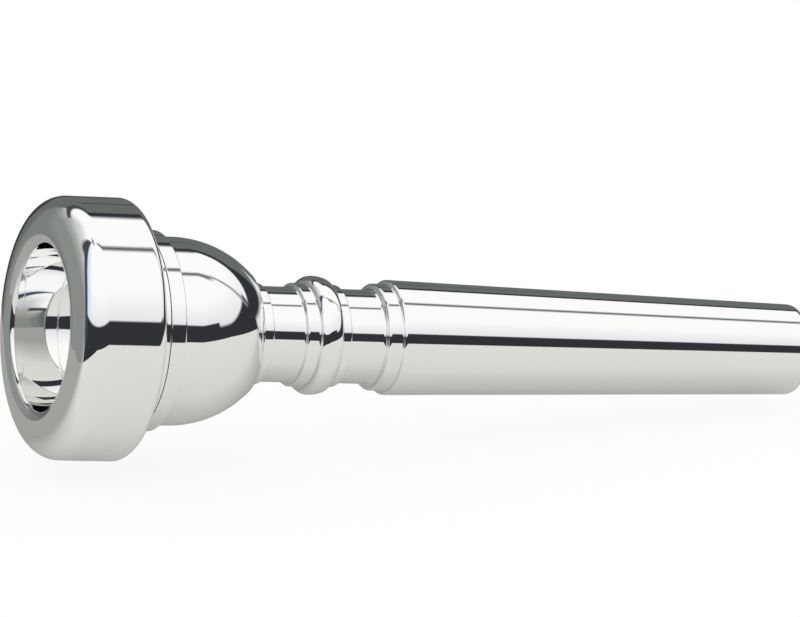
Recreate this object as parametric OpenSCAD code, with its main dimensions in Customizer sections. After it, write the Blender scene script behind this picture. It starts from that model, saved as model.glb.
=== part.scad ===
// Trumpet mouthpiece in three turned pieces that screw together:
// a rim with the lip crown, a cup with the bowl and throat, and a backbore with the tapered shank.
// Sizes in millimetres. The axis is X: the rim faces -X and the shank leaves along +X.
// The origin is the centre of the shank's small end. A "station" is the distance behind the
// highest circle of the rim, so stations grow from the rim towards the shank's end.

/* [Rim] */
// Largest diameter of the rim
rim_d = 27.0; // [25:0.1:32.4]
// Diameter at the bite, where the bowl begins
bite_d = 17.0; // [16:0.1:18.6]
// Width from the bite out to the crown, the highest circle of the rim
crown_inner_w = 1.4; // [0.8:0.1:1.8]
// Angle that the flat face outside the crown turns through
outer_face_angle = 17; // [10:1:30]
// Radius of the corner between the outer face and the rim's side
outer_corner_radius = 2.5; // [1.5:0.1:3]
// Angle that the face inside the crown turns through
inner_face_angle = 22; // [12:1:40]
// Radius of the corner at the bite
bite_radius = 0.6; // [0.3:0.05:0.7]
// Length from the crown to the rim's back face
rim_l = 9.2; // [8:0.1:11.5]
// Rounding of the rim's back edge
rim_back_round = 1.0; // [0.3:0.1:1.5]
// Fillet between the rim's back face and its tail
tail_fillet = 1.0; // [0.4:0.1:1.2]
// Length of the tail behind the rim's back face
tail_l = 1.4; // [1.2:0.1:2.2]

/* [Cup] */
// Diameter of the collar, shared by the rim's tail and the cup
collar_d = 20.66; // [18:0.02:23]
// Length of the cup's share of the collar
collar_l = 1.65; // [1:0.05:3]
// Diameter of the cup's body
cup_d = 19.4; // [17:0.1:20.2]
// Length of the body's cylinder behind the collar
cup_straight_l = 2.0; // [0.5:0.1:4]
// Radius of the body's rounded shoulder
shoulder_radius = 11.8; // [9:0.1:13]
// Angle that the shoulder turns through
shoulder_angle = 39.5; // [30:0.5:42]
// Length of the cone behind the shoulder
cup_cone_l = 0.65; // [0.4:0.05:1.5]
// Rounding of the cup's end corner
cup_end_round = 0.3; // [0.1:0.05:0.4]

/* [Bowl and throat] */
// Depth of the bowl's elliptical curve below the bite
bowl_h = 9.8; // [9:0.1:11.8]
// Angle of the ellipse at which the curve turns over into the throat
bowl_turn = 72; // [66:0.5:75]
// Diameter of the throat
throat_d = 3.66; // [3.4:0.01:4.4]
// Length of the throat's parallel bore in the cup
throat_l = 3.7; // [2:0.1:5]

/* [Rim thread] */
// Wall of the rim's tail outside the crests of its thread
tail_wall = 0.95; // [0.7:0.05:1.4]
// Wall between the bowl and the thread's root at the seat on which the rim closes
seat_wall = 1.4; // [1:0.1:1.8]
// Pitch of the rim's thread
rim_pitch = 0.75; // [0.5:0.05:1]

/* [Backbore thread] */
// Crest diameter of the backbore's thread
spigot_d = 8.0; // [7.4:0.1:9.6]
// Pitch of the backbore's thread
spigot_pitch = 0.75; // [0.5:0.05:1]

/* [Stem] */
// Width of the ring that closes on the cup, outside the spigot
seat_ring_w = 1.25; // [0.8:0.05:2]
// Length of the ring that closes on the cup
seat_ring_l = 1.55; // [1:0.05:2.5]
// Diameter of the neck before the bead
front_neck_d = 9.9; // [9.4:0.1:10.1]
// Length of the neck before the bead
front_neck_l = 3.65; // [2:0.05:5]
// Diameter of the ring before the bead
front_ring_d = 10.75; // [10.2:0.05:12]
// Length of the ring before the bead
front_ring_l = 1.3; // [0.6:0.05:2]
// Diameter of the bead at its peak
bead_d = 12.35; // [12.1:0.05:14.8]
// Length over which the bead rises to its peak
bead_rise_l = 1.0; // [0.5:0.05:2]
// Length over which the bead falls from its peak
bead_fall_l = 1.6; // [0.8:0.05:2.5]
// Step from the end of the bead down to the ring behind it
bead_step = 0.25; // [0.1:0.05:0.4]
// Diameter of the ring behind the bead
rear_ring_d = 10.6; // [10.2:0.05:11.4]
// Length of the ring behind the bead
rear_ring_l = 1.1; // [0.6:0.05:2]
// Diameter of the neck behind the bead
rear_neck_d = 9.8; // [9.4:0.1:10.1]
// Length of the neck behind the bead
rear_neck_l = 4.0; // [2:0.05:6]
// Diameter of the ring before the shank
shank_ring_d = 11.15; // [10.2:0.05:11.8]
// Length of the ring before the shank
shank_ring_l = 1.6; // [0.8:0.05:2.5]

/* [Shank] */
// Length of the tapered shank
shank_l = 47.85; // [38:0.05:58]
// Diameter of the taper at the shank's small end
tip_d = 9.62; // [9.2:0.01:11.5]
// Length in which the taper gains one millimetre of diameter
taper_l = 20; // [18:0.1:25]
// Rounding of the shank's front corner
head_round = 0.3; // [0.1:0.05:0.5]
// Length of the rounding at the small end
tip_round_l = 0.9; // [0.3:0.1:1.5]
// Height of the rounding at the small end
tip_round_h = 0.6; // [0.2:0.1:0.6]

/* [Backbore] */
// Diameter of the bore at the end of its first stage
middle_bore_d = 5.7; // [4.8:0.1:6.4]
// Length of the bore's first stage
first_stage_l = 22.0; // [12:0.5:30]
// Wall between the bore and the taper at the shank's small end
exit_wall = 0.9; // [0.8:0.05:1.5]

/* [Fits] */
// Radial clearance between the crests of mating threads
thread_clearance = 0.05; // [0.02:0.01:0.09]
// Depth of a thread groove
thread_h = 0.3; // [0.15:0.05:0.35]
// Gap left at the parting line when the rim is closed on its seat
parting_gap = 0.08; // [0.02:0.01:0.2]
// Gap between the backbore's nose and the bottom of its socket
nose_gap = 0.1; // [0.05:0.01:0.3]
// Chamfer at the start of each thread
lead_in = 0.35; // [0.2:0.05:0.5]
// Length of the plain relief where a thread ends at its shoulder
relief_l = 0.5; // [0.3:0.05:1]

/* [Hidden] */
$fn = 180;
// Steps in each arc of an outline
arc_steps = 12;

// Stations from the crown to the shank's small end
tail_end = rim_l + tail_l;
collar_front = tail_end + parting_gap;
collar_back = collar_front + collar_l;
shoulder_front = collar_back + cup_straight_l;
cone_front = shoulder_front + shoulder_radius * sin(shoulder_angle);
cup_end = cone_front + cup_cone_l;
front_neck_front = cup_end + seat_ring_l;
front_ring_front = front_neck_front + front_neck_l;
bead_front = front_ring_front + front_ring_l;
bead_peak = bead_front + bead_rise_l;
rear_ring_front = bead_peak + bead_fall_l;
rear_neck_front = rear_ring_front + rear_ring_l;
shank_ring_front = rear_neck_front + rear_neck_l;
shank_front = shank_ring_front + shank_ring_l;
overall_l = shank_front + shank_l;

// Radii that the fits are built on
crown_r = bite_d / 2 + crown_inner_w;
rim_thread_r = collar_d / 2 - tail_wall - thread_clearance;
spigot_r = spigot_d / 2;
seat_ring_r = spigot_r + seat_ring_w;

// Radii of the cup's cone at its two ends
cone_front_r = cup_d / 2 - shoulder_radius * (1 - cos(shoulder_angle));
cup_end_r = cone_front_r - cup_cone_l * tan(shoulder_angle);

// Each side of the crown is a wide flat arc and a small corner arc, tangent to each other
outer_face_radius = face_radius(rim_d / 2 - crown_r, outer_face_angle, outer_corner_radius);
inner_face_radius = face_radius(crown_inner_w, inner_face_angle, bite_radius);
bite_front = inner_face_radius * (1 - cos(inner_face_angle))
    + bite_radius * cos(inner_face_angle);

// The bowl turns over into the throat on an arc that is tangent to both
turn_r = bite_d / 2 * cos(bowl_turn);
turn_slope = atan(bite_d / 2 * tan(bowl_turn) / bowl_h);
turn_radius = (turn_r - throat_d / 2) / (1 - cos(turn_slope));
throat_front = bite_front + bowl_h * sin(bowl_turn) + turn_radius * sin(turn_slope);
socket_bottom = throat_front + throat_l;
nose_front = socket_bottom + nose_gap;

// The rim closes on the cup where the bowl has narrowed enough to leave the seat's wall
seat_r = min(rim_thread_r - thread_h - seat_wall, 0.9 * bite_d / 2);
seat_angle = acos(seat_r / (bite_d / 2));
rim_seat = bite_front + bowl_h * sin(seat_angle);

// Radius of a crown's flat face, so that it and its corner arc together span a width
function face_radius(width, angle, corner) = (width - corner * (1 - sin(angle))) / sin(angle);

// One side of the crown, from its top; side is 1 outwards and -1 inwards
function crown_side(face, angle, corner, side) = concat(
    arc([face, crown_r], [face, side * face], 180, 180 - angle),
    arc([face - (face - corner) * cos(angle), crown_r + side * (face - corner) * sin(angle)],
        [corner, side * corner], 180 - angle, 90)
);

// Radius of the shank's taper at a station
function shank_r(station) = tip_d / 2 + (overall_l - station) / taper_l / 2;

// Points along an ellipse's arc; semi holds the half axes along the station and the radius
function arc(centre, semi, from, to) = [
    for (i = [0 : arc_steps])
        let (t = from + (to - from) * i / arc_steps)
        [centre[0] + semi[0] * cos(t), centre[1] + semi[1] * sin(t)]
];

// A list in the opposite order
function reversed(list) = [for (i = [len(list) - 1 : -1 : 0]) list[i]];

// V grooves side by side between two stations, from the crest radius to the root radius
function grooves(front, back, crest_r, root_r, pitch) =
    let (count = floor((back - front) / pitch), flat = pitch / 8)
    [
        for (i = [0 : count - 1])
            let (start = front + i * pitch)
            each [
                [start + flat, crest_r],
                [start + pitch / 2, root_r],
                [start + pitch - flat, crest_r]
            ]
    ];

// Outside of a thread, from its chamfered start to the relief before its shoulder
function male_thread(front, shoulder, crest_r, pitch) = [
    [front, crest_r - lead_in],
    [front + lead_in, crest_r],
    each grooves(front + lead_in, shoulder - relief_l, crest_r, crest_r - thread_h, pitch),
    [shoulder - relief_l, crest_r],
    [shoulder - relief_l, crest_r - thread_h],
    [shoulder, crest_r - thread_h]
];

// Inside of a thread, from the bottom of its hole to its chamfered mouth
function female_thread(bottom, mouth, male_crest_r, pitch) =
    let (crest_r = male_crest_r + thread_clearance)
    [
        [bottom, crest_r],
        each grooves(bottom + relief_l, mouth - lead_in, crest_r, crest_r + thread_h, pitch),
        [mouth - lead_in, crest_r],
        [mouth, crest_r + lead_in]
    ];

// The bowl's ellipse between two angles; 0 is the bite and 90 would be its deepest point
function bowl(from, to) = arc([bite_front, 0], [bowl_h, bite_d / 2], 90 - from, 90 - to);

// Turns an outline of [station, radius] points about the X axis
module turned(outline) {
    translate([-overall_l, 0, 0])
        rotate([0, 90, 0])
            rotate_extrude(convexity = 10)
                polygon([for (point = outline) [point[1], point[0]]]);
}

module rim() {
    rim_r = rim_d / 2;
    tail_r = collar_d / 2;
    // The back face has room for its rounding and its fillet
    back_round = min(rim_back_round, (rim_r - tail_r) / 2);
    fillet_r = min(tail_fillet, (rim_r - tail_r) / 2);
    crown_outer = crown_side(outer_face_radius, outer_face_angle, outer_corner_radius, 1);
    back_corner = arc([rim_l - back_round, rim_r - back_round], [back_round, back_round], 90, 0);
    fillet = arc([rim_l + fillet_r, tail_r + fillet_r], [fillet_r, fillet_r], 180, 270);
    thread = reversed(female_thread(rim_seat, tail_end, rim_thread_r, rim_pitch));
    crown_inner = reversed(crown_side(inner_face_radius, inner_face_angle, bite_radius, -1));
    color("lightgray")
        turned(concat(crown_outer, back_corner, fillet, [[tail_end, tail_r]], thread,
                      bowl(seat_angle, 0), crown_inner));
}

module cup() {
    cup_r = cup_d / 2;
    collar_r = collar_d / 2;
    thread = male_thread(rim_seat, collar_front, rim_thread_r, rim_pitch);
    collar = [[collar_front, collar_r], [collar_back, collar_r], [collar_back, cup_r]];
    shoulder = arc([shoulder_front, cup_r - shoulder_radius], [shoulder_radius, shoulder_radius],
                   90, 90 - shoulder_angle);
    // The end corner turns from the cone's slope to the flat end face
    corner_reach = cup_end_round * tan((90 - shoulder_angle) / 2);
    end_corner = arc([cup_end - cup_end_round, cup_end_r - corner_reach],
                     [cup_end_round, cup_end_round], 90 - shoulder_angle, 0);
    socket = reversed(female_thread(socket_bottom, cup_end, spigot_r, spigot_pitch));
    throat = [[socket_bottom, throat_d / 2]];
    turn = arc([throat_front, throat_d / 2 + turn_radius], [turn_radius, turn_radius],
               270, 270 - turn_slope);
    color("silver")
        turned(concat(thread, collar, shoulder, end_corner, socket, throat, turn,
                      bowl(bowl_turn, seat_angle)));
}

module backbore() {
    front_ring_r = front_ring_d / 2;
    rear_ring_r = rear_ring_d / 2;
    bead_r = bead_d / 2;
    bead_end_r = rear_ring_r + bead_step;
    head_r = shank_r(shank_front);
    tip_arc_front = overall_l - tip_round_l;
    thread = male_thread(nose_front, cup_end, spigot_r, spigot_pitch);
    stem = [
        [cup_end, seat_ring_r],
        [front_neck_front, seat_ring_r],
        [front_neck_front, front_neck_d / 2],
        [front_ring_front, front_neck_d / 2],
        [front_ring_front, front_ring_r]
    ];
    bead = concat(
        arc([bead_peak, front_ring_r], [bead_rise_l, bead_r - front_ring_r], 180, 90),
        arc([bead_peak, bead_end_r], [bead_fall_l, bead_r - bead_end_r], 90, 0)
    );
    rear = [
        [rear_ring_front, rear_ring_r],
        [rear_neck_front, rear_ring_r],
        [rear_neck_front, rear_neck_d / 2],
        [shank_ring_front, rear_neck_d / 2],
        [shank_ring_front, shank_ring_d / 2],
        [shank_front, shank_ring_d / 2]
    ];
    head_corner = arc([shank_front + head_round, head_r - head_round], [head_round, head_round],
                      180, 90);
    tip = arc([tip_arc_front, shank_r(tip_arc_front) - tip_round_h], [tip_round_l, tip_round_h],
              90, 0);
    bore = [
        [overall_l, tip_d / 2 - exit_wall],
        [nose_front + first_stage_l, middle_bore_d / 2],
        [nose_front, throat_d / 2]
    ];
    color("gainsboro") turned(concat(thread, stem, bead, rear, head_corner, tip, bore));
}

cup();
rim();
backbore();
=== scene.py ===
"""Looks of a trumpet mouthpiece in silver-plated brass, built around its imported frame.

The mouthpiece is three turned pieces on one axis, the frame's X: a screw-on rim, a cup with the
bowl and throat, and a screwed-in backbore with the tapered shank. Each piece is an outline of
(station, radius) points, turned about the axis by one Geometry Nodes tree that also winds the
screw threads. Stations are distances in metres behind the rim's crown, as in the part's source.
"""

from __future__ import annotations

import logging
import math
from dataclasses import dataclass, field
from enum import Enum
from typing import Any

import bmesh
import bpy
from mathutils import Matrix, Vector

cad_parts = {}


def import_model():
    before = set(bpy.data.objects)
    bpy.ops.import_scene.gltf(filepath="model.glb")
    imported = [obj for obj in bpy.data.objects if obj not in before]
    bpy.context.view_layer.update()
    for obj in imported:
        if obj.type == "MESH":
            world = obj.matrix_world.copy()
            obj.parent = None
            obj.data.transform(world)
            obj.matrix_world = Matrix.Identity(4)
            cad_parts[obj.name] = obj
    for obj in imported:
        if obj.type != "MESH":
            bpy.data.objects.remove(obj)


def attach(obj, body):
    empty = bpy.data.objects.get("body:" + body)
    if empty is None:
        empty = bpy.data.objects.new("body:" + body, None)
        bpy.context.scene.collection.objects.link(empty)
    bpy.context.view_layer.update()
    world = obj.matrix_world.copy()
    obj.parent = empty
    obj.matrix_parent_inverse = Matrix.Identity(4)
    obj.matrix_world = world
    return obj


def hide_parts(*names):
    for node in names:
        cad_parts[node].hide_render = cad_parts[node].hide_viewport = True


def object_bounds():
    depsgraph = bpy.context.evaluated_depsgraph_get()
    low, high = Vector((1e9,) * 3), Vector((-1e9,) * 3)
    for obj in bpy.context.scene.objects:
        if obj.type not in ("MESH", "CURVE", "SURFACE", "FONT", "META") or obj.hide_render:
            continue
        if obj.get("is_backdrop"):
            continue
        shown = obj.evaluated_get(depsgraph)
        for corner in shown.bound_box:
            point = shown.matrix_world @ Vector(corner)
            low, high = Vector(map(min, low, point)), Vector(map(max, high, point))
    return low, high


LOG = logging.getLogger("mouthpiece")
MM = 0.001

# Two points nearer than this are one
SAME_POINT = 1e-8
# How far ahead of a corner the point lies that gives the direction of the stretch after it
AHEAD = 1.0

Number = int | float
Point = tuple[float, float]


# ---------------------------------------------------------------------------------------------
# Node trees
# ---------------------------------------------------------------------------------------------


class Term:
    """A node socket that can stand in a Python expression; each operator adds its Math node."""

    def __init__(self, tree: "Tree", socket: bpy.types.NodeSocket) -> None:
        """Wraps one output socket of a tree."""
        self.tree = tree
        self.socket = socket

    def _math(self, operation: str, *values: "Value") -> "Term":
        """Adds one Math node to the tree."""
        return self.tree.math(operation, *values)

    def __add__(self, other: "Value") -> "Term":
        """Sum."""
        return self._math("ADD", self, other)

    def __radd__(self, other: "Value") -> "Term":
        """Reflected sum."""
        return self._math("ADD", other, self)

    def __sub__(self, other: "Value") -> "Term":
        """Difference."""
        return self._math("SUBTRACT", self, other)

    def __rsub__(self, other: "Value") -> "Term":
        """Reflected difference."""
        return self._math("SUBTRACT", other, self)

    def __mul__(self, other: "Value") -> "Term":
        """Product."""
        return self._math("MULTIPLY", self, other)

    def __rmul__(self, other: "Value") -> "Term":
        """Reflected product."""
        return self._math("MULTIPLY", other, self)

    def __truediv__(self, other: "Value") -> "Term":
        """Quotient."""
        return self._math("DIVIDE", self, other)

    def __mod__(self, other: "Value") -> "Term":
        """Remainder of a division."""
        return self._math("MODULO", self, other)


Value = Term | Number


class Tree:
    """A node tree with one method for any node and short ones for the nodes used most."""

    def __init__(self, tree: bpy.types.NodeTree) -> None:
        """Takes over an empty or new node tree."""
        self.tree = tree

    def node(self, kind: str, settings: dict[str, Any] | None = None,
             inputs: dict[Any, Any] | None = None) -> bpy.types.Node:
        """Adds a node, sets its properties and then its inputs.

        Args:
            kind: The node's type, such as "ShaderNodeTexNoise".
            settings: Property names and values.
            inputs: Input names or indices, with a value, a Term or an output socket each.

        Returns:
            The new node.
        """
        made = self.tree.nodes.new(kind)
        for name, value in (settings or {}).items():
            setattr(made, name, value)
        for key, value in (inputs or {}).items():
            self.feed(made.inputs[key], value)
        return made

    def feed(self, socket: bpy.types.NodeSocket, value: Any) -> None:
        """Links a Term or an output socket to an input, or sets the input's own value.

        Args:
            socket: The input.
            value: A Term, an output socket or a plain value.
        """
        if isinstance(value, Term):
            value = value.socket
        if isinstance(value, bpy.types.NodeSocket):
            self.tree.links.new(value, socket)
        else:
            socket.default_value = value

    def math(self, operation: str, *values: Value, clamp: bool = False) -> Term:
        """Adds a Math node and returns its result."""
        made = self.node("ShaderNodeMath", {"operation": operation, "use_clamp": clamp},
                         dict(enumerate(values)))
        return Term(self, made.outputs[0])

    def term(self, node: bpy.types.Node, output: Any = 0) -> Term:
        """One output of a node as a Term."""
        return Term(self, node.outputs[output])

    def mix(self, share: Value, first: Any, second: Any) -> bpy.types.NodeSocket:
        """A colour mixed of two, with a share of the second."""
        # The node has sockets of one name for each type; 6, 7 and output 2 are the colours'
        return self.node("ShaderNodeMix", {"data_type": "RGBA"},
                         {"Factor": share, 6: first, 7: second}).outputs[2]

    def vector(self, x: Value, y: Value, z: Value) -> bpy.types.NodeSocket:
        """A vector made of three values."""
        return self.node("ShaderNodeCombineXYZ", {}, {0: x, 1: y, 2: z}).outputs[0]


# ---------------------------------------------------------------------------------------------
# Outlines and the lathe
# ---------------------------------------------------------------------------------------------


@dataclass
class Outline:
    """A closed outline of one turned piece, drawn point by point around its section."""

    points: list[Point] = field(default_factory=list)
    thread: list[float] = field(default_factory=list)
    polish: list[float] = field(default_factory=list)
    finish: float = 1.0
    pitch: float = 0.75 * MM
    edge_gap: float = 0.012 * MM

    def add(self, station: float, radius: float, cut: float = 0.0) -> None:
        """Adds one point, unless it is the last one again.

        Args:
            station: The point's station.
            radius: The point's radius.
            cut: How far a thread's root lies from it, outwards.
        """
        if self.points and math.dist(self.points[-1], (station, radius)) < SAME_POINT:
            return
        self.points.append((station, radius))
        self.thread.append(cut)
        self.polish.append(self.finish)

    def line(self, station: float, radius: float, step: float = 3.0 * MM) -> None:
        """Draws a straight stretch, with close points at its ends so that it shades flat.

        Args:
            station: Station of its end.
            radius: Radius of its end.
            step: Longest distance between the points along it, about.
        """
        start = self.points[-1]
        length = math.dist(start, (station, radius))
        if length > 4 * self.edge_gap:
            inner = max(1, round((length - 2 * self.edge_gap) / step))
            shares = [self.edge_gap + (length - 2 * self.edge_gap) * i / inner
                      for i in range(inner + 1)]
            for share in (distance / length for distance in shares):
                self.add(start[0] + (station - start[0]) * share,
                         start[1] + (radius - start[1]) * share)
        self.add(station, radius)

    def arc(self, centre: Point, semi: Point, start: float, end: float, steps: int = 16) -> None:
        """Draws an elliptical arc.

        Args:
            centre: Station and radius of the arc's centre.
            semi: Half axes along the station and the radius.
            start: First angle in degrees; 0 points along the station, 90 away from the axis.
            end: Last angle in degrees.
            steps: Number of straight steps.
        """
        angles = [math.radians(start + (end - start) * i / steps) for i in range(steps + 1)]
        places = [(centre[0] + semi[0] * math.cos(angle), centre[1] + semi[1] * math.sin(angle))
                  for angle in angles]
        if self.points:
            self.line(*places[0])
        for place in places:
            self.add(*place)

    def corner(self, station: float, radius: float, towards: Point, rounding: float,
               steps: int = 5) -> None:
        """Draws a line to a corner and breaks its edge with a small arc.

        Args:
            station: Station of the sharp corner.
            radius: Radius of the sharp corner.
            towards: Any point on the stretch that leaves the corner.
            rounding: Radius of the broken edge.
            steps: Number of straight steps in the arc.
        """
        here = Vector((station, radius))
        back = (Vector(self.points[-1]) - here).normalized()
        ahead = (Vector(towards) - here).normalized()
        half = back.angle(ahead) / 2
        reach = rounding / math.tan(half)
        centre = here + (back + ahead).normalized() * (rounding / math.sin(half))
        first, last = here + back * reach - centre, here + ahead * reach - centre
        turn = first.angle_signed(last)
        self.line(*(here + back * reach))
        for i in range(1, steps + 1):
            spoke = first.copy()
            spoke.rotate(Matrix.Rotation(-turn * i / steps, 2))
            self.add(*(centre + spoke))

    def closed(self) -> "Outline":
        """Draws the last straight stretch, back to the first point.

        Returns:
            The outline itself.
        """
        self.line(*self.points[0])
        while math.dist(self.points[-1], self.points[0]) < SAME_POINT:
            for values in (self.points, self.thread, self.polish):
                values.pop()
        return self

    def helix(self, start: float, end: float, radius: float, depth: float,
              rows_per_turn: int = 9) -> None:
        """Draws a straight stretch on which the lathe winds a thread.

        Args:
            start: Station where the thread starts.
            end: Station where it ends.
            radius: Radius of the thread's crest.
            depth: Depth of the thread, negative where it is cut inwards.
            rows_per_turn: Points for each pitch of length.
        """
        self.line(start, radius)
        turns = abs(end - start) / self.pitch
        rows = max(2, round(turns * rows_per_turn))
        for i in range(rows + 1):
            share = i / rows
            run_out = min(1.0, 2.0 * turns * min(share, 1.0 - share))
            self.add(start + (end - start) * share, radius, depth * run_out)


class Lathe:
    """The Geometry Nodes tree that turns an outline about the X axis and winds its thread.

    The thread's depth falls off by groove_slope for each pitch from the groove's middle. Edges
    sharper than sharp_angle, in degrees, stay sharp.
    """

    groove_slope: float = 2.6
    weld_distance: float = 1e-7
    sharp_angle: float = 32.0

    def __init__(self) -> None:
        """Builds the tree."""
        self.group = bpy.data.node_groups.new("lathe", "GeometryNodeTree")
        self.inputs = self._make_interface()
        self._make_nodes()

    def _make_interface(self) -> dict[str, str]:
        """Returns:
            Each input's identifier, by name.
        """
        face = self.group.interface
        kinds = {"Outline": "NodeSocketGeometry", "Segments": "NodeSocketInt",
                 "Pitch": "NodeSocketFloat", "Sharp angle": "NodeSocketFloat",
                 "Material": "NodeSocketMaterial"}
        made = {name: face.new_socket(name, in_out="INPUT", socket_type=kind)
                for name, kind in kinds.items()}
        face.new_socket("Turned piece", in_out="OUTPUT", socket_type="NodeSocketGeometry")
        return {name: socket.identifier for name, socket in made.items()}

    def _make_nodes(self) -> None:
        """Adds the nodes: a grid is bent round the axis, closed, shaded and given its material."""
        t = Tree(self.group)
        given = t.node("NodeGroupInput")
        outline = given.outputs["Outline"]
        segments = t.term(given, "Segments")
        count = t.node("GeometryNodeAttributeDomainSize", {"component": "MESH"}, {0: outline})
        points = t.term(count, "Point Count")
        grid = t.node("GeometryNodeMeshGrid", {},
                      {"Vertices X": points + 1, "Vertices Y": segments + 1})
        index = t.term(t.node("GeometryNodeInputIndex"))
        row = t.math("FLOOR", (index + 0.5) / (segments + 1))
        column = index - row * (segments + 1)
        source = row % points
        position = t.node("GeometryNodeInputPosition").outputs[0]
        place = self._sample(t, outline, "FLOAT_VECTOR", position, source)
        apart = t.node("ShaderNodeSeparateXYZ", {}, {0: place})
        station, radius = t.term(apart, 0), t.term(apart, 1)
        cut = Term(t, self._sample(t, outline, "FLOAT", self._named(t, "thread"), source))
        polish = self._sample(t, outline, "FLOAT", self._named(t, "polish"), source)
        turn = column / segments
        phase = t.math("FRACT", station / t.term(given, "Pitch") + turn)
        # A V groove with a flat crest: the depth falls off linearly from the groove's middle
        groove = t.math("SUBTRACT", 1.0, t.math("ABSOLUTE", phase - 0.5) * self.groove_slope,
                        clamp=True)
        turned_r = radius + cut * groove
        angle = turn * math.tau
        bent = t.node("GeometryNodeSetPosition", {}, {
            "Geometry": grid.outputs["Mesh"],
            "Position": t.vector(station, turned_r * t.math("COSINE", angle),
                                 turned_r * t.math("SINE", angle))})
        marked = t.node("GeometryNodeStoreNamedAttribute",
                        {"data_type": "FLOAT", "domain": "POINT"},
                        {"Geometry": bent.outputs[0], "Name": "polish", "Value": polish})
        closed = t.node("GeometryNodeMergeByDistance", {},
                        {"Geometry": marked.outputs[0], "Distance": self.weld_distance})
        smooth = t.node("GeometryNodeSetShadeSmooth", {"domain": "FACE"},
                        {"Geometry": closed.outputs[0], "Shade Smooth": True})
        edge = t.term(t.node("GeometryNodeInputMeshEdgeAngle"), "Unsigned Angle")
        is_soft = t.math("LESS_THAN", edge, t.term(given, "Sharp angle"))
        creased = t.node("GeometryNodeSetShadeSmooth", {"domain": "EDGE"},
                         {"Geometry": smooth.outputs[0], "Shade Smooth": is_soft})
        real = t.node("GeometryNodeRealizeInstances", {}, {"Geometry": creased.outputs[0]})
        dressed = t.node("GeometryNodeSetMaterial", {}, {
            "Geometry": real.outputs[0], "Material": given.outputs["Material"]})
        t.node("NodeGroupOutput", {}, {0: dressed.outputs[0]})

    @staticmethod
    def _named(t: Tree, name: str) -> bpy.types.NodeSocket:
        """A float attribute of the outline, by name."""
        return t.node("GeometryNodeInputNamedAttribute", {"data_type": "FLOAT"},
                      {"Name": name}).outputs["Attribute"]

    @staticmethod
    def _sample(t: Tree, geometry: bpy.types.NodeSocket, kind: str, value: bpy.types.NodeSocket,
                index: Term) -> bpy.types.NodeSocket:
        """Reads a value at one of the outline's points.

        Args:
            t: The tree.
            geometry: The outline.
            kind: The value's type.
            value: The value on the outline.
            index: Number of the point.

        Returns:
            The value there.
        """
        node = t.node("GeometryNodeSampleIndex", {"data_type": kind, "domain": "POINT"},
                      {"Geometry": geometry, "Value": value, "Index": index})
        return node.outputs[0]

    def turn(self, name: str, outline: Outline, origin: float, segments: int,
             material: bpy.types.Material) -> bpy.types.Object:
        """Turns an outline into a finished plain mesh.

        Args:
            name: Name of the piece.
            outline: The closed outline.
            origin: The crown's place on the frame's X axis.
            segments: Faces round the axis.
            material: Finish of the piece.

        Returns:
            The new object, at the origin, with its place in its mesh.
        """
        count = len(outline.points)
        mesh = bpy.data.meshes.new(name)
        mesh.from_pydata([(origin + s, r, 0.0) for s, r in outline.points],
                         [(i, (i + 1) % count) for i in range(count)], [])
        for attribute, values in (("thread", outline.thread), ("polish", outline.polish)):
            layer = mesh.attributes.new(attribute, "FLOAT", "POINT")
            layer.data.foreach_set("value", values)
        piece = bpy.data.objects.new(name, mesh)
        bpy.context.scene.collection.objects.link(piece)
        modifier = piece.modifiers.new("lathe", "NODES")
        modifier.node_group = self.group
        settings = {"Segments": segments, "Pitch": outline.pitch,
                    "Sharp angle": math.radians(self.sharp_angle), "Material": material}
        for key, value in settings.items():
            modifier[self.inputs[key]] = value
        bpy.context.view_layer.update()
        evaluated = piece.evaluated_get(bpy.context.evaluated_depsgraph_get())
        turned = bpy.data.meshes.new_from_object(evaluated)
        piece.modifiers.clear()
        piece.data = turned
        turned.name = name
        bpy.data.meshes.remove(mesh)
        self._face_outwards(turned)
        return piece

    @staticmethod
    def _face_outwards(mesh: bpy.types.Mesh) -> None:
        """Turns every face of a closed mesh outwards."""
        shape = bmesh.new()
        shape.from_mesh(mesh)
        if shape.calc_volume(signed=True) < 0:
            bmesh.ops.reverse_faces(shape, faces=shape.faces)
        shape.to_mesh(mesh)
        shape.free()


# ---------------------------------------------------------------------------------------------
# Finishes
# ---------------------------------------------------------------------------------------------


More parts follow.
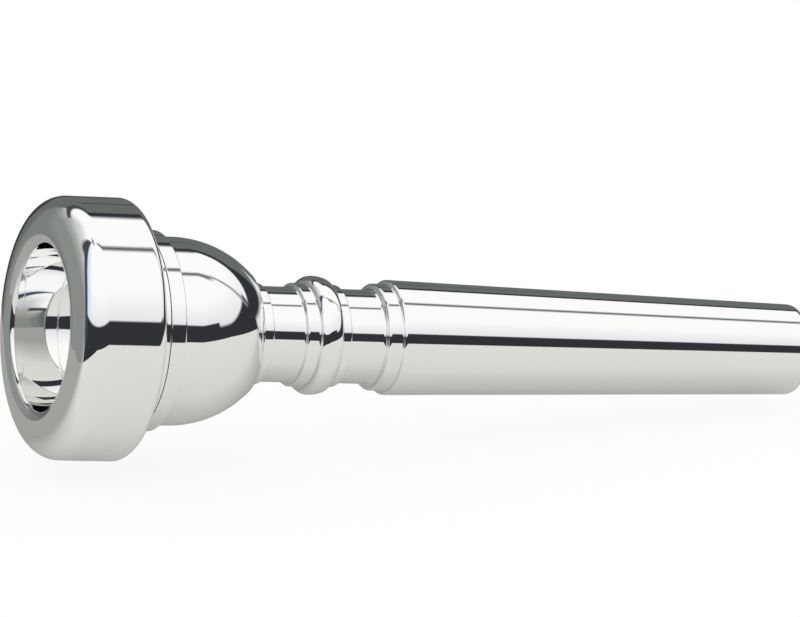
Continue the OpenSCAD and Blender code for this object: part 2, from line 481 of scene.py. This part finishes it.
@dataclass(frozen=True)
class SilverPlate:
    """Silver plate over turned brass: mirror polished outside, satin where it is machined.

    Clouds are the soft patches of haze and tarnish; lathe lines are the fine rings that the
    tool leaves, full on machined faces and only a trace on polished ones.
    """

    name: str
    colour: tuple[float, float, float] = (0.965, 0.962, 0.955)
    tarnish: tuple[float, float, float] = (0.90, 0.885, 0.855)
    tarnish_from: float = 0.45
    tarnish_share: float = 0.35
    mirror_roughness: float = 0.03
    satin_roughness: float = 0.2
    cloud_scale: float = 140.0
    haze: float = 0.015
    haze_from: float = 0.4
    lathe_line_pitch: float = 0.12 * MM
    lathe_line_depth: float = 0.02 * MM
    lathe_line_strength: float = 0.35
    lathe_line_roughness: float = 0.1
    polished_trace: float = 0.006

    def material(self) -> bpy.types.Material:
        """Builds the material.

        Returns:
            The material, with its patterns on Object coordinates.
        """
        made = bpy.data.materials.new(self.name)
        made.use_nodes = True
        made.node_tree.nodes.clear()
        t = Tree(made.node_tree)
        place = t.node("ShaderNodeTexCoord").outputs["Object"]
        station = t.term(t.node("ShaderNodeSeparateXYZ", {}, {0: place}))
        polish = t.term(t.node("ShaderNodeAttribute", {"attribute_name": "polish"}), "Fac")
        machined = t.math("SUBTRACT", 1.0, polish, clamp=True)
        clouds = t.term(t.node("ShaderNodeTexNoise", {"noise_dimensions": "3D"}, {
            "Vector": place, "Scale": self.cloud_scale, "Detail": 4.0, "Roughness": 0.6}))
        rings = t.term(t.node("ShaderNodeTexNoise", {"noise_dimensions": "1D"},
                              {"W": station / self.lathe_line_pitch, "Scale": 1.0, "Detail": 3.0}))
        roughness = (self.mirror_roughness + self.haze * (clouds - self.haze_from)
                     + machined * (self.satin_roughness + self.lathe_line_roughness * rings))
        dulled = t.math("SUBTRACT", clouds, self.tarnish_from, clamp=True) * self.tarnish_share
        tone = t.mix(dulled, (*self.colour, 1.0), (*self.tarnish, 1.0))
        bump = t.node("ShaderNodeBump", {}, {
            "Height": rings * (machined + self.polished_trace),
            "Strength": self.lathe_line_strength, "Distance": self.lathe_line_depth})
        shader = t.node("ShaderNodeBsdfPrincipled", {}, {
            "Base Color": tone, "Metallic": 1.0, "Roughness": roughness,
            "Normal": bump.outputs[0]})
        t.node("ShaderNodeOutputMaterial", {}, {"Surface": shader.outputs[0]})
        return made


# ---------------------------------------------------------------------------------------------
# The mouthpiece
# ---------------------------------------------------------------------------------------------


@dataclass(frozen=True)
class Thread:
    """A screw thread, cut inwards on a male piece and outwards on a female one."""

    radius: float
    depth: float = 0.3 * MM
    clearance: float = 0.05 * MM
    lead_in: float = 0.35 * MM
    relief: float = 0.5 * MM

    @property
    def female_radius(self) -> float:
        """Crest radius of the female thread."""
        return self.radius + self.clearance

    def cut_male(self, outline: Outline, front: float, shoulder: float) -> None:
        """Draws the outside of a male thread.

        Args:
            outline: The piece's outline.
            front: Station of the thread's chamfered start.
            shoulder: Station of the shoulder behind it.
        """
        root = self.radius - self.depth
        outline.line(front, self.radius - self.lead_in)
        outline.line(front + self.lead_in, self.radius)
        outline.helix(front + self.lead_in, shoulder - self.relief, self.radius, -self.depth)
        outline.line(shoulder - self.relief, root)
        outline.line(shoulder, root)

    def cut_female(self, outline: Outline, mouth: float, bottom: float) -> None:
        """Draws the inside of a female thread.

        Args:
            outline: The piece's outline.
            mouth: Station of the thread's chamfered mouth.
            bottom: Station of its bottom.
        """
        outline.line(mouth, self.female_radius + self.lead_in)
        outline.line(mouth - self.lead_in, self.female_radius)
        outline.helix(mouth - self.lead_in, bottom + self.relief, self.female_radius, self.depth)
        outline.line(bottom, self.female_radius)


@dataclass(frozen=True)
class Bowl:
    """The bowl's curve, which runs through the rim and the cup to the throat."""

    bite_r: float = 8.5 * MM
    bite_front: float = 0.755 * MM
    depth: float = 9.8 * MM
    turn_at: float = 72.0
    throat_r: float = 1.83 * MM

    def angle_at(self, station: float) -> float:
        """Angle of the ellipse at a station; 90 is the bite and 0 would be its deepest point."""
        return math.degrees(math.acos((station - self.bite_front) / self.depth))

    def draw(self, outline: Outline, start: float, end: float, steps: int) -> None:
        """Draws the ellipse between two angles."""
        outline.arc((self.bite_front, 0.0), (self.depth, self.bite_r), start, end, steps)

    @property
    def turn(self) -> tuple[float, float, float]:
        """Station where the throat begins, and the radius and angle of the arc before it."""
        at = math.radians(self.turn_at)
        slope = math.atan(self.bite_r * math.tan(at) / self.depth)
        radius = (self.bite_r * math.cos(at) - self.throat_r) / (1.0 - math.cos(slope))
        station = self.bite_front + self.depth * math.sin(at) + radius * math.sin(slope)
        return station, radius, math.degrees(slope)


@dataclass(frozen=True)
class Rim:
    """The screw-on rim: crown, bite, front of the bowl and threaded tail."""

    seat: float
    tail_end: float
    rim_r: float
    bowl: Bowl
    thread: Thread
    tail_r: float
    crown_r: float = 9.9 * MM
    outer: tuple[float, float] = (17.0, 2.5 * MM)
    inner: tuple[float, float] = (22.0, 0.6 * MM)
    back: float = 9.2 * MM
    back_round: float = 1.0 * MM
    fillet: float = 1.0 * MM
    edge_break: float = 0.06 * MM

    def outline(self) -> Outline:
        """Draws the rim's section."""
        drawn = Outline()
        self._draw_side(drawn, self.rim_r - self.crown_r, *self.outer, 1, (16, 28))
        drawn.arc((self.back - self.back_round, self.rim_r - self.back_round),
                  (self.back_round, self.back_round), 90, 0, 20)
        drawn.arc((self.back + self.fillet, self.tail_r + self.fillet), (self.fillet, self.fillet),
                  180, 270, 20)
        drawn.corner(self.tail_end, self.tail_r, (self.tail_end, 0.0), self.edge_break)
        drawn.finish = 0.0
        self.thread.cut_female(drawn, self.tail_end, self.seat)
        seat_angle = self.bowl.angle_at(self.seat)
        drawn.line(self.seat, self.bowl.bite_r * math.sin(math.radians(seat_angle)))
        drawn.finish = 1.0
        self.bowl.draw(drawn, seat_angle, 90, 28)
        self._draw_side(drawn, self.crown_r - self.bowl.bite_r, *self.inner, -1, (16, 20))
        return drawn.closed()

    def _draw_side(self, drawn: Outline, width: float, angle: float, corner: float, side: int,
                   steps: tuple[int, int]) -> None:
        """Draws one side of the crown, a wide flat arc and a corner arc tangent to it.

        Args:
            drawn: The outline; the outer side runs away from the crown, the inner towards it.
            width: Width of the side across the rim.
            angle: Angle in degrees that the flat arc turns through.
            corner: Radius of the corner arc.
            side: 1 for the outer side and -1 for the inner.
            steps: Straight steps in the flat and the corner arc.
        """
        turn = math.radians(angle)
        flat = (width - corner * (1 - math.sin(turn))) / math.sin(turn)
        arcs = [((flat, self.crown_r), flat, 180.0, 180.0 - angle, steps[0]),
                ((flat - (flat - corner) * math.cos(turn),
                  self.crown_r + side * (flat - corner) * math.sin(turn)),
                 corner, 180.0 - angle, 90.0, steps[1])]
        for centre, radius, start, end, count in arcs if side > 0 else reversed(arcs):
            first, last = (start, end) if side > 0 else (end, start)
            drawn.arc(centre, (radius, side * radius), first, last, count)


@dataclass(frozen=True)
class Cup:
    """The cup: the bowl's bottom, the throat, the rim's thread and the backbore's socket."""

    seat: float
    end: float
    bowl: Bowl
    rim_thread: Thread
    spigot_thread: Thread
    collar_front: float
    collar_r: float
    collar_l: float = 1.65 * MM
    body_r: float = 9.7 * MM
    straight_l: float = 2.0 * MM
    shoulder_radius: float = 11.8 * MM
    shoulder_angle: float = 39.5
    end_round: float = 0.3 * MM
    throat_l: float = 3.7 * MM
    edge_break: float = 0.06 * MM
    collar_break: float = 0.15 * MM

    @property
    def socket_bottom(self) -> float:
        """Station of the socket's bottom."""
        return self.bowl.turn[0] + self.throat_l

    def outline(self) -> Outline:
        """Draws the cup's section."""
        drawn = Outline(finish=0.0)
        seat_angle = self.bowl.angle_at(self.seat)
        drawn.add(self.seat, self.bowl.bite_r * math.sin(math.radians(seat_angle)))
        self.rim_thread.cut_male(drawn, self.seat, self.collar_front)
        drawn.line(self.collar_front, self.collar_r - 4 * self.edge_break)
        drawn.finish = 1.0
        back = self.collar_front + self.collar_l
        drawn.corner(self.collar_front, self.collar_r, (back, self.collar_r), self.edge_break)
        drawn.corner(back, self.collar_r, (back, self.body_r), self.collar_break)
        drawn.corner(back, self.body_r, (self.end, self.body_r), self.collar_break)
        shoulder = back + self.straight_l
        reach = self.shoulder_radius
        drawn.arc((shoulder, self.body_r - reach), (reach, reach), 90, 90 - self.shoulder_angle, 48)
        cone_l = self.end - shoulder - reach * math.sin(math.radians(self.shoulder_angle))
        cone_r = self.body_r - reach * (1.0 - math.cos(math.radians(self.shoulder_angle)))
        end_r = cone_r - cone_l * math.tan(math.radians(self.shoulder_angle))
        drop = self.end_round * math.tan(math.radians(90 - self.shoulder_angle) / 2)
        drawn.arc((self.end - self.end_round, end_r - drop), (self.end_round, self.end_round),
                  90 - self.shoulder_angle, 0, 8)
        drawn.line(self.end, self.spigot_thread.female_radius + self.spigot_thread.lead_in
                   + self.edge_break)
        drawn.finish = 0.0
        self.spigot_thread.cut_female(drawn, self.end, self.socket_bottom)
        drawn.line(self.socket_bottom, self.bowl.throat_r + self.edge_break)
        drawn.finish = 1.0
        station, radius, slope = self.bowl.turn
        drawn.line(self.socket_bottom, self.bowl.throat_r)
        drawn.arc((station, self.bowl.throat_r + radius), (radius, radius), 270, 270 - slope, 16)
        self.bowl.draw(drawn, 90 - self.bowl.turn_at, seat_angle, 40)
        return drawn.closed()


@dataclass(frozen=True)
class Backbore:
    """The backbore: threaded spigot, ringed stem, bead, and the tapered shank with its bore."""

    nose: float
    shoulder: float
    length: float
    thread: Thread
    throat_r: float
    seat_ring: tuple[float, float] = (5.25 * MM, 1.55 * MM)
    front_neck: tuple[float, float] = (4.95 * MM, 3.65 * MM)
    front_ring: tuple[float, float] = (5.375 * MM, 1.3 * MM)
    bead_r: float = 6.175 * MM
    bead_rise: float = 1.0 * MM
    bead_fall: float = 1.6 * MM
    bead_step: float = 0.25 * MM
    rear_ring: tuple[float, float] = (5.3 * MM, 1.1 * MM)
    rear_neck: tuple[float, float] = (4.9 * MM, 4.0 * MM)
    shank_ring: tuple[float, float] = (5.575 * MM, 1.6 * MM)
    tip_r: float = 4.81 * MM
    taper: float = 1.0 / 40.0
    head_round: float = 0.3 * MM
    tip_round: tuple[float, float] = (0.9 * MM, 0.6 * MM)
    middle_bore_r: float = 2.85 * MM
    first_stage_l: float = 22.0 * MM
    exit_r: float = 3.91 * MM
    edge_break: float = 0.16 * MM
    root_break: float = 0.08 * MM
    shoulder_share: float = 0.47

    def shank_r(self, station: float) -> float:
        """Radius of the taper at a station."""
        return self.tip_r + (self.length - station) * self.taper

    def _step(self, drawn: Outline, station: float, radius: float, next_radius: float) -> float:
        """Draws a stretch up to a step and the step's two corners.

        Args:
            drawn: The outline.
            station: Where the step is.
            radius: Radius before the step.
            next_radius: Radius after it.

        Returns:
            The step's station.
        """
        if next_radius > radius:
            # A rising step is rounded over most of its height, half by each corner
            first = second = self.shoulder_share * (next_radius - radius)
        else:
            first, second = self.edge_break, self.root_break
        drawn.corner(station, radius, (station, next_radius), first, 8)
        drawn.corner(station, next_radius, (station + AHEAD, next_radius), second, 8)
        return station

    def outline(self) -> Outline:
        """Draws the backbore's section."""
        drawn = Outline(finish=0.0)
        drawn.add(self.nose, self.throat_r)
        self.thread.cut_male(drawn, self.nose, self.shoulder)
        ring_r, ring_l = self.seat_ring
        drawn.line(self.shoulder, ring_r - 2 * self.edge_break)
        drawn.finish = 1.0
        drawn.corner(self.shoulder, ring_r, (self.length, ring_r), self.root_break)
        at = self._step(drawn, self.shoulder + ring_l, ring_r, self.front_neck[0])
        at = self._step(drawn, at + self.front_neck[1], self.front_neck[0], self.front_ring[0])
        at = self._draw_bead(drawn, at + self.front_ring[1])
        at = self._step(drawn, at + self.rear_ring[1], self.rear_ring[0], self.rear_neck[0])
        at = self._step(drawn, at + self.rear_neck[1], self.rear_neck[0], self.shank_ring[0])
        at += self.shank_ring[1]
        head_r = self.shank_r(at)
        drawn.corner(at, self.shank_ring[0], (at, head_r), self.root_break)
        tip_l, tip_h = self.tip_round
        tip_front = self.length - tip_l
        drawn.corner(at, head_r, (tip_front, self.shank_r(tip_front)), self.head_round, 10)
        drawn.arc((tip_front, self.shank_r(tip_front) - tip_h), (tip_l, tip_h), 90, 0, 16)
        drawn.corner(self.length, self.exit_r, (self.nose + self.first_stage_l, self.middle_bore_r),
                     self.root_break)
        drawn.finish = 0.35
        drawn.line(self.nose + self.first_stage_l, self.middle_bore_r)
        drawn.line(self.nose, self.throat_r)
        return drawn.closed()

    def _draw_bead(self, drawn: Outline, front: float) -> float:
        """Draws the bead between its rings.

        Args:
            drawn: The outline.
            front: Station where the bead begins.

        Returns:
            The station where it ends.
        """
        peak, end_r = front + self.bead_rise, self.rear_ring[0] + self.bead_step
        drawn.arc((peak, self.front_ring[0]), (self.bead_rise, self.bead_r - self.front_ring[0]),
                  180, 90, 18)
        drawn.arc((peak, end_r), (self.bead_fall, self.bead_r - end_r), 90, 0, 24)
        end = peak + self.bead_fall
        drawn.corner(end, self.rear_ring[0], (end + AHEAD, self.rear_ring[0]), self.root_break)
        return end


# ---------------------------------------------------------------------------------------------
# The studio
# ---------------------------------------------------------------------------------------------


class Shade(Enum):
    """Colours of the cards around the object, as linear light."""

    BLACK = (0.030, 0.032, 0.037)
    FRAME = (0.062, 0.068, 0.064)
    NAVY = (0.060, 0.066, 0.090)
    DARK = (0.135, 0.150, 0.142)
    MIDDLE = (0.250, 0.270, 0.260)
    SOFT = (0.390, 0.400, 0.370)
    PALE = (0.620, 0.650, 0.660)
    BLUE = (0.680, 0.830, 0.960)
    HAZE = (0.770, 0.780, 0.820)
    WHITE = (1.0, 1.0, 1.0)

    @property
    def opaque(self) -> tuple[float, float, float, float]:
        """The colour with full cover, as a node takes it."""
        return (*self.value, 1.0)


@dataclass(frozen=True)
class Card:
    """A card of the light tent, seen only in reflections; angles in degrees.

    Azimuth 0 is towards the camera and grows to its right; elevation is above the floor. The
    card's upper and lower edges climb by rise degrees for each degree of azimuth, and its
    sides lean by lean degrees of azimuth for each degree of elevation.
    """

    shade: Shade
    azimuth: tuple[float, float]
    elevation: tuple[float, float]
    softness: float = 0.8
    rise: float = 0.0
    lean: float = 0.0


@dataclass(frozen=True)
class Studio:
    """Camera, floor and surroundings, all laid out from the surface the object lies on.

    The object lies on its side, on the rim's back edge and the shank's end, so the floor is
    tilted in the frame. It passes a given distance from the axis below the rim's crown.
    """

    crown_x: float
    tilt: float = 6.418
    drop: float = 14.338 * MM
    floor_clearance: float = 1.4 * MM
    azimuth: float = -22.96
    elevation: float = 11.98
    distance: float = 0.65
    target: tuple[float, float, float] = (-46.02 * MM, 0.32 * MM, 3.06 * MM)
    lens: float = 280.53
    sensor: float = 36.0
    clip: tuple[float, float] = (0.01, 20.0)
    floor_from: tuple[float, float] = (-0.14, -0.19)
    floor_to: tuple[float, float] = (0.23, 0.10)
    floor_shade: tuple[float, float, float] = (0.745, 0.742, 0.715)
    # To the metal the floor has painted shade that darkens it towards the back, and a painted glow
    # that lifts the shadow under the object
    painted_shade_span: tuple[float, float] = (-0.010, 0.012)
    painted_shade_at_back: float = 0.50
    painted_floor_glow: float = 0.5
    shadow_share: float = 0.12
    cards: tuple[Card, ...] = (
        Card(Shade.HAZE, (-200.0, 200.0), (-90.0, 24.0), 14.0),
        Card(Shade.MIDDLE, (-200.0, 200.0), (86.5, 95.0), 2.0),
        Card(Shade.BLUE, (-66.0, -48.0), (0.0, 78.0), 5.0),
        Card(Shade.PALE, (-134.0, -80.0), (-30.0, 66.0), 10.0),
        Card(Shade.SOFT, (-134.0, -78.0), (-30.0, 43.0), 9.0),
        Card(Shade.MIDDLE, (-146.0, -74.0), (-30.0, 24.0), 10.0),
        Card(Shade.DARK, (150.0, 223.0), (-30.0, 34.0), 7.0),
        Card(Shade.DARK, (160.0, 216.0), (-30.0, 44.0), 1.5, rise=-0.11),
        Card(Shade.FRAME, (166.0, 233.0), (37.0, 45.0), 1.5, rise=-0.11),
        Card(Shade.FRAME, (182.0, 206.0), (-12.0, 9.0), 2.5),
        Card(Shade.BLACK, (190.0, 207.0), (-16.0, 3.0), 3.0),
        Card(Shade.BLACK, (168.0, 186.0), (22.6, 24.2), 0.6),
        Card(Shade.DARK, (144.0, 171.0), (-60.0, 40.0), 1.5, rise=0.6),
        Card(Shade.BLACK, (118.0, 171.0), (26.0, 32.7), 1.0, rise=0.6),
        Card(Shade.BLACK, (112.0, 147.0), (-10.0, 23.7), 1.5, rise=0.6),
        Card(Shade.HAZE, (113.0, 160.0), (-14.0, 6.0), 2.0, rise=0.15),
        Card(Shade.BLACK, (-71.0, 66.0), (-30.0, 14.2)),
        Card(Shade.BLACK, (50.0, 117.0), (-30.0, 9.8), 1.5),
        Card(Shade.BLACK, (72.0, 117.0), (-40.0, 15.0), 1.2, rise=0.4),
        Card(Shade.MIDDLE, (109.0, 112.5), (15.0, 52.0), 1.5, lean=-0.1),
        Card(Shade.DARK, (99.0, 108.0), (50.0, 78.0), 3.0, lean=-0.1),
        Card(Shade.FRAME, (-90.0, -66.0), (46.0, 80.0), 4.0),
        Card(Shade.NAVY, (-78.0, -64.0), (0.0, 84.0), 3.0, lean=-0.05),
    )

    @property
    def up(self) -> Vector:
        """The floor's normal."""
        angle = math.radians(self.tilt)
        return Vector((-math.sin(angle), 0.0, math.cos(angle)))

    @property
    def along(self) -> Vector:
        """The direction in the floor that runs with the object's axis."""
        return Vector((self.up.z, 0.0, -self.up.x))

    def direction(self, azimuth: float, elevation: float) -> Vector:
        """Args:
            azimuth: Degrees round the floor's normal.
            elevation: Degrees above the floor.

        Returns:
            The direction, of length one.
        """
        a, e = math.radians(azimuth), math.radians(elevation)
        across = Vector((0.0, 1.0, 0.0))
        return (self.along * math.sin(a) * math.cos(e) - across * math.cos(a) * math.cos(e)
                + self.up * math.sin(e))

    def make_camera(self) -> bpy.types.Object:
        """Adds the camera, level over the floor.

        Returns:
            The camera's object.
        """
        data = bpy.data.cameras.new("camera")
        data.lens, data.sensor_width, data.sensor_fit = self.lens, self.sensor, "HORIZONTAL"
        data.clip_start, data.clip_end = self.clip
        camera = bpy.data.objects.new("camera", data)
        bpy.context.scene.collection.objects.link(camera)
        back = self.direction(self.azimuth, self.elevation)
        right = self.up.cross(back).normalized()
        turned = Matrix((right, back.cross(right), back)).transposed().to_4x4()
        place = Vector(self.target) + back * self.distance
        camera.matrix_world = Matrix.Translation(place) @ turned
        bpy.context.scene.camera = camera
        return camera

    def make_floor(self) -> bpy.types.Object:
        """Adds the floor: white to the camera apart from the shadow, pale grey to the metal.

        Returns:
            The floor's object.
        """
        mesh = bpy.data.meshes.new("floor")
        along, across = self.along, Vector((0.0, 1.0, 0.0))
        # The shank's end sinks by the clearance as the backbore is drawn out along the tilted axis
        middle = (Vector((self.crown_x, 0.0, 0.0)) - self.up * (self.drop + self.floor_clearance)
                  - along * self.crown_x / 2)
        (left, front), (right, back) = self.floor_from, self.floor_to
        mesh.from_pydata([middle + along * x + across * y for x, y in
                          ((left, front), (right, front), (right, back), (left, back))],
                         [], [(0, 1, 2, 3)])
        mesh.materials.append(self._floor_material())
        floor = bpy.data.objects.new("floor", mesh)
        bpy.context.scene.collection.objects.link(floor)
        floor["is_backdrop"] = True
        return floor

    def _floor_material(self) -> bpy.types.Material:
        """Builds the floor's material.

        Returns:
            The material: white to the camera, pale grey to the metal and clear from below.
        """
        material = bpy.data.materials.new("floor")
        material.use_nodes = True
        material.node_tree.nodes.clear()
        t = Tree(material.node_tree)
        shadowed = t.node("ShaderNodeBsdfDiffuse", {}, {"Color": Shade.WHITE.opaque})
        white = t.node("ShaderNodeEmission", {}, {"Color": Shade.WHITE.opaque, "Strength": 1.0})
        seen = t.node("ShaderNodeMixShader", {}, {
            0: 1.0 - self.shadow_share, 1: shadowed.outputs[0], 2: white.outputs[0]})
        # To the metal it is a pale card that glows a little, as painted light, and darkens towards
        # the back, as painted shade
        across = t.term(t.node("ShaderNodeSeparateXYZ", {},
                               {0: t.node("ShaderNodeTexCoord").outputs["Object"]}), 1)
        near, far = self.painted_shade_span
        fade = t.math("DIVIDE", across - near, far - near, clamp=True)
        front_shade = (*self.floor_shade, 1.0)
        # Painted shade: the floor's colour towards the back, darker because less light falls there
        painted_back_colour = (*(channel * self.painted_shade_at_back for channel in self.floor_shade), 1.0)
        shade = t.mix(fade, front_shade, painted_back_colour)
        matt = t.node("ShaderNodeBsdfDiffuse", {}, {"Color": shade})
        # Painted light: the glow lifts the floor where the object's shadow falls on it
        glow = t.node("ShaderNodeEmission", {}, {"Color": shade, "Strength": 1.0})
        card = t.node("ShaderNodeMixShader", {}, {
            0: self.painted_floor_glow, 1: matt.outputs[0], 2: glow.outputs[0]})
        path = t.node("ShaderNodeLightPath")
        both = t.node("ShaderNodeMixShader", {}, {
            0: path.outputs["Is Camera Ray"], 1: card.outputs[0], 2: seen.outputs[0]})
        # A camera below the floor sees the object through it
        under = t.node("ShaderNodeNewGeometry").outputs["Backfacing"]
        clear = t.node("ShaderNodeBsdfTransparent", {}, {"Color": Shade.WHITE.opaque})
        shown = t.node("ShaderNodeMixShader", {}, {
            0: under, 1: both.outputs[0], 2: clear.outputs[0]})
        t.node("ShaderNodeOutputMaterial", {}, {"Surface": shown.outputs[0]})
        return material

    def make_world(self) -> bpy.types.World:
        """Builds the world: plain white, with the tent's cards for reflected rays alone.

        Returns:
            The world.
        """
        world = bpy.data.worlds.new("light tent")
        world.use_nodes = True
        world.node_tree.nodes.clear()
        t = Tree(world.node_tree)
        ray = t.node("ShaderNodeTexCoord").outputs["Generated"]
        back = self.direction(self.azimuth, 0.0)
        parts = [self._along(t, ray, axis) for axis in (back, self.up.cross(back), self.up)]
        azimuth = t.math("DEGREES", t.math("ARCTAN2", parts[1], parts[0]))
        elevation = t.math("DEGREES", t.math("ARCSINE", parts[2]))
        light: Any = Shade.WHITE.opaque
        for card in self.cards:
            middle = sum(card.azimuth) / 2, sum(card.elevation) / 2
            leaning = azimuth - card.lean * (elevation - middle[1])
            rising = elevation - card.rise * t.math("WRAP", azimuth - middle[0], 180.0, -180.0)
            cover = (self._within(t, leaning, card.azimuth, card.softness)
                     * self._within(t, rising, card.elevation, card.softness))
            light = t.mix(cover, light, card.shade.opaque)
        path = t.node("ShaderNodeLightPath")
        reflected = t.math("MAXIMUM", Term(t, path.outputs["Is Glossy Ray"]),
                           Term(t, path.outputs["Is Transmission Ray"]))
        level = t.mix(reflected, Shade.WHITE.opaque, light)
        sky = t.node("ShaderNodeBackground", {}, {"Color": level, "Strength": 1.0})
        t.node("ShaderNodeOutputWorld", {}, {"Surface": sky.outputs[0]})
        bpy.context.scene.world = world
        return world

    @staticmethod
    def _along(t: Tree, ray: bpy.types.NodeSocket, axis: Vector) -> Term:
        """The part of a ray's direction along an axis."""
        return t.term(t.node("ShaderNodeVectorMath", {"operation": "DOT_PRODUCT"},
                             {0: ray, 1: tuple(axis)}), "Value")

    @staticmethod
    def _within(t: Tree, angle: Term, span: tuple[float, float], softness: float) -> Term:
        """How far an angle is inside a span, with soft ends; spans past 180 degrees wrap round.

        Args:
            t: The tree.
            angle: The angle in degrees.
            span: First and last angle of the span.
            softness: Degrees over which each end fades.

        Returns:
            One inside the span and zero outside it.
        """
        middle, half = (span[0] + span[1]) / 2, (span[1] - span[0]) / 2
        away = t.math("ABSOLUTE", t.math("WRAP", angle - middle, 180.0, -180.0))
        return t.math("ADD", 0.5, (half - away) * (0.5 / softness), clamp=True)


# ---------------------------------------------------------------------------------------------
# The scene
# ---------------------------------------------------------------------------------------------


@dataclass(frozen=True)
class Mouthpiece:
    """The three pieces, with the sizes of the fits between them."""

    crown_x: float
    bowl: Bowl = Bowl()
    rim_r: float = 13.5 * MM
    tail_end: float = 10.6 * MM
    parting_gap: float = 0.08 * MM
    collar_r: float = 10.33 * MM
    rim_thread: Thread = Thread(9.33 * MM)
    seat_wall: float = 1.4 * MM
    cup_end: float = 22.486 * MM
    spigot_thread: Thread = Thread(4.0 * MM)
    nose_gap: float = 0.1 * MM
    length: float = 86.136 * MM
    segments: int = 192

    @property
    def seat(self) -> float:
        """Station where the rim closes on the cup, inside the bowl."""
        seat_r = self.rim_thread.radius - self.rim_thread.depth - self.seat_wall
        share = math.sqrt(1 - (seat_r / self.bowl.bite_r) ** 2)
        return self.bowl.bite_front + self.bowl.depth * share

    def build(self) -> None:
        """Turns the three pieces and hands each one to the frame in its node's place."""
        rim = Rim(self.seat, self.tail_end, self.rim_r, self.bowl, self.rim_thread, self.collar_r)
        cup = Cup(self.seat, self.cup_end, self.bowl, self.rim_thread, self.spigot_thread,
                  self.tail_end + self.parting_gap, self.collar_r)
        backbore = Backbore(cup.socket_bottom + self.nose_gap, self.cup_end, self.length,
                            self.spigot_thread, self.bowl.throat_r)
        lathe = Lathe()
        for node, outline in (("rim", rim.outline()), ("cup", cup.outline()),
                              ("backbore", backbore.outline())):
            material = SilverPlate(f"{node}_silver").material()
            piece = lathe.turn(f"{node}_turned", outline, self.crown_x, self.segments, material)
            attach(piece, node)
            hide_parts(node)
            LOG.info("%s: %d points, %d faces", node, len(outline.points),
                     len(piece.data.polygons))


def main() -> None:
    """Loads the frame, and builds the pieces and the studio."""
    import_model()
    cad_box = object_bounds()
    studio = Studio(crown_x=cad_box[0].x)
    studio.make_camera()
    studio.make_world()
    studio.make_floor()
    Mouthpiece(crown_x=cad_box[0].x).build()
    bpy.context.scene.view_settings.view_transform = "Standard"


if __name__ == "__main__":
    logging.basicConfig(level=logging.INFO)
    main()
